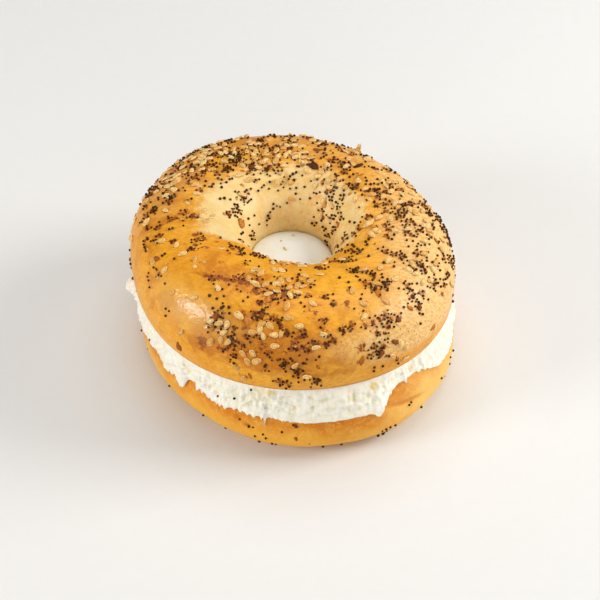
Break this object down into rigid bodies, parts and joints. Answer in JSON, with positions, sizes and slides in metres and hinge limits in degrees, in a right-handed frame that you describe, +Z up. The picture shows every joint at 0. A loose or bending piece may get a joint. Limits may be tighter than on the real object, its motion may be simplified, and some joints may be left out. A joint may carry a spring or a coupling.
{
  "type": "bagel sandwich",
  "caption": "Seeded bagel cut across into a heel and a crown, with a thick layer of cream cheese between them that domes up into the hole.",
  "frame": {"origin": "on the surface the sandwich rests on, under the middle of its bounding box", "axes": "+Z up through the layers, -Y towards the viewer of the picture, +X to the viewer's right"},
  "size_m": [0.1197, 0.1231, 0.0614],
  "materials": {
    "crust": "baked bagel crust, satin gloss, golden with darker brown patches",
    "cream_cheese": "soft cream cheese, ragged and slightly moist"
  },
  "bodies": {
    "root": {"crown": "crust", "cream_cheese": "cream_cheese", "heel": "crust"}
  },
  "joints": []
}
